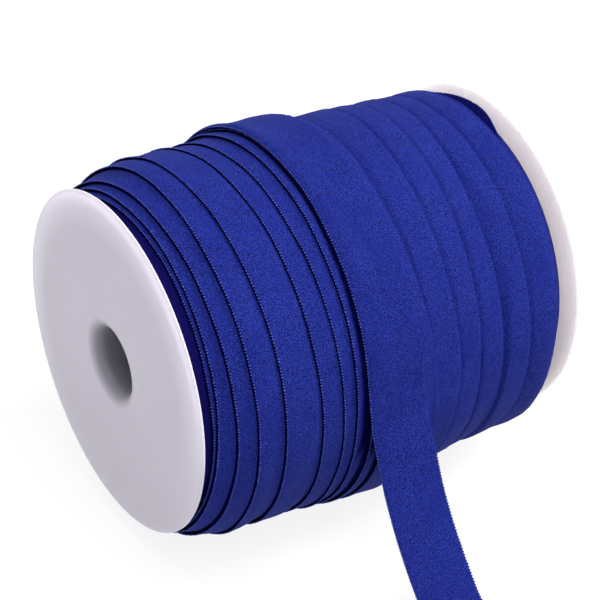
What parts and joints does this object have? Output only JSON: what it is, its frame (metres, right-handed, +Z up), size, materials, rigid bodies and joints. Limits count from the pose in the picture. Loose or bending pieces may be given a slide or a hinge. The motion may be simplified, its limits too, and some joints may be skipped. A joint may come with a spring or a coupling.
{
  "type": "roll of fold-over elastic",
  "caption": "Roll of flat fold-over elastic wound in overlapping turns on a white plastic spool, with the loose end hanging off the front and lying on the surface.",
  "frame": {"origin": "on the ground under the middle of the spool, in the small flat spot the roll rests on", "axes": "+X along the spool's axis from the near plate to the far plate, +Z up; the loose end leaves the roll towards -Y"},
  "size_m": [0.1074, 0.1686, 0.0951],
  "materials": {
    "spool_plastic": "satin moulded white",
    "elastic": "matt knitted royal blue"
  },
  "bodies": {
    "root": {"flange_near": "spool_plastic", "flange_far": "spool_plastic", "core_barrel": "spool_plastic", "winding": "elastic", "loose_end": "elastic"}
  },
  "joints": []
}
